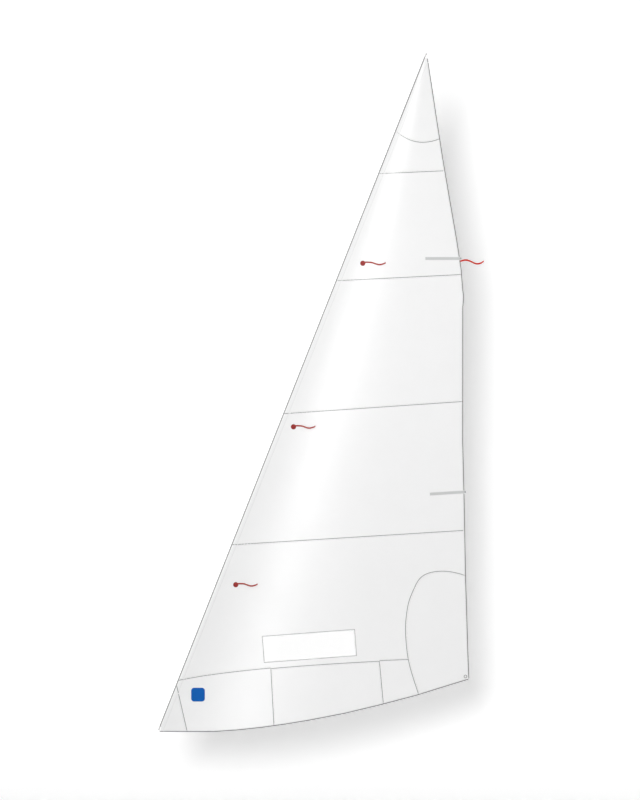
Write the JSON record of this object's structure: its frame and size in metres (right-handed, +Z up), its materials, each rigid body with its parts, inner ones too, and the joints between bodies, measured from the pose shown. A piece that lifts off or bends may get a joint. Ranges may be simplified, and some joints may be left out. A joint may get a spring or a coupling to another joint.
{
  "type": "jib sail",
  "caption": "Triangular headsail with a wired luff, overlapped cloth panels, a clear window, leech battens, corner patches and red telltales.",
  "frame": {"origin": "middle of the tack eye, on the line of the luff wire", "axes": "+X aft along the boat, +Z up, -Y the port side; the luff leans aft by 21.6 degrees"},
  "size_m": [2.196, 0.3524, 4.576],
  "materials": {
    "sailcloth": "matt woven polyester sailcloth with a resin finish",
    "patch_cloth": "matt woven sailcloth in two layers",
    "tape_cloth": "matt woven polyester tape",
    "pocket_cloth": "grey woven pocket tape",
    "window_film": "clear soft film",
    "dot_film": "dark red adhesive cloth",
    "ribbon_cloth": "red spinnaker nylon",
    "badge_film": "plain blue adhesive film",
    "glass_fibre": "glass fibre strip",
    "batten_cap": "moulded plastic",
    "stainless_steel": "polished stainless steel",
    "wire_rope": "stranded galvanised steel wire",
    "ferrule_metal": "pressed copper alloy"
  },
  "bodies": {
    "luff_wire_set": {"luff_wire": "wire_rope", "head_thimble": "stainless_steel", "tack_thimble": "stainless_steel", "head_ferrule": "ferrule_metal", "tack_ferrule": "ferrule_metal"},
    "sail": {"head_panel": "sailcloth", "upper_panel": "sailcloth", "upper_middle_panel": "sailcloth", "lower_middle_panel": "sailcloth", "window_panel": "sailcloth", "foot_panel_tack": "sailcloth", "foot_panel_middle": "sailcloth", "foot_panel_clew": "sailcloth", "window_pane": "window_film", "head_patch_port": "patch_cloth", "head_patch_starboard": "patch_cloth", "tack_patch_port": "patch_cloth", "tack_patch_starboard": "patch_cloth", "clew_patch_port": "patch_cloth", "clew_patch_starboard": "patch_cloth", "luff_sleeve": "tape_cloth", "leech_tape": "tape_cloth", "foot_tape": "tape_cloth", "upper_batten_pocket": "pocket_cloth", "lower_batten_pocket": "pocket_cloth", "upper_dot_port": "dot_film", "upper_dot_starboard": "dot_film", "middle_dot_port": "dot_film", "middle_dot_starboard": "dot_film", "lower_dot_port": "dot_film", "lower_dot_starboard": "dot_film", "tack_badge": "badge_film", "clew_eyelet": "stainless_steel", "clew_washer": "stainless_steel"},
    "upper_batten_body": {"upper_batten": "glass_fibre", "upper_batten_cap": "batten_cap"},
    "lower_batten_body": {"lower_batten": "glass_fibre", "lower_batten_cap": "batten_cap"},
    "upper_ribbon_port_body": {"upper_ribbon_port": "ribbon_cloth"},
    "upper_ribbon_starboard_body": {"upper_ribbon_starboard": "ribbon_cloth"},
    "middle_ribbon_port_body": {"middle_ribbon_port": "ribbon_cloth"},
    "middle_ribbon_starboard_body": {"middle_ribbon_starboard": "ribbon_cloth"},
    "lower_ribbon_port_body": {"lower_ribbon_port": "ribbon_cloth"},
    "lower_ribbon_starboard_body": {"lower_ribbon_starboard": "ribbon_cloth"},
    "leech_ribbon_body": {"leech_ribbon": "ribbon_cloth"}
  },
  "joints": [
    {"name": "luff_pivot", "type": "hinge", "parent": "luff_wire_set", "child": "sail", "pos_m": [0, 0, 0], "axis": [0.368, 0, 0.9298], "range_deg": [-80, 80]},
    {"name": "upper_batten_slide", "type": "slide", "parent": "sail", "child": "upper_batten_body", "axis": [0.9552, 0.2959, 0], "range_m": [0, 0.235]},
    {"name": "lower_batten_slide", "type": "slide", "parent": "sail", "child": "lower_batten_body", "axis": [0.954, 0.2938, 0.06], "range_m": [0, 0.235]},
    {"name": "upper_ribbon_port_pivot", "type": "hinge", "parent": "sail", "child": "upper_ribbon_port_body", "pos_m": [1.37413, -0.04188, 3.14504], "axis": [-0.1266, -0.9897, 0.0669], "range_deg": [-100, 100]},
    {"name": "upper_ribbon_starboard_pivot", "type": "hinge", "parent": "sail", "child": "upper_ribbon_starboard_body", "pos_m": [1.37424, -0.03954, 3.13296], "axis": [-0.1266, -0.9897, 0.0669], "range_deg": [-100, 100]},
    {"name": "middle_ribbon_port_pivot", "type": "hinge", "parent": "sail", "child": "middle_ribbon_port_body", "pos_m": [0.90968, -0.04292, 2.04954], "axis": [-0.3128, -0.9413, 0.1271], "range_deg": [-100, 100]},
    {"name": "middle_ribbon_starboard_pivot", "type": "hinge", "parent": "sail", "child": "middle_ribbon_starboard_body", "pos_m": [0.90965, -0.04153, 2.03746], "axis": [-0.3128, -0.9413, 0.1271], "range_deg": [-100, 100]},
    {"name": "lower_ribbon_port_pivot", "type": "hinge", "parent": "sail", "child": "lower_ribbon_port_body", "pos_m": [0.52308, -0.05777, 0.99163], "axis": [-0.3232, -0.9373, 0.1308], "range_deg": [-100, 100]},
    {"name": "lower_ribbon_starboard_pivot", "type": "hinge", "parent": "sail", "child": "lower_ribbon_starboard_body", "pos_m": [0.52298, -0.05656, 0.97957], "axis": [-0.3232, -0.9373, 0.1308], "range_deg": [-100, 100]},
    {"name": "leech_ribbon_pivot", "type": "hinge", "parent": "sail", "child": "leech_ribbon_body", "pos_m": [2.02168, 0.10957, 3.15001], "axis": [0.2958, -0.9549, -0.027], "range_deg": [-100, 100]}
  ]
}
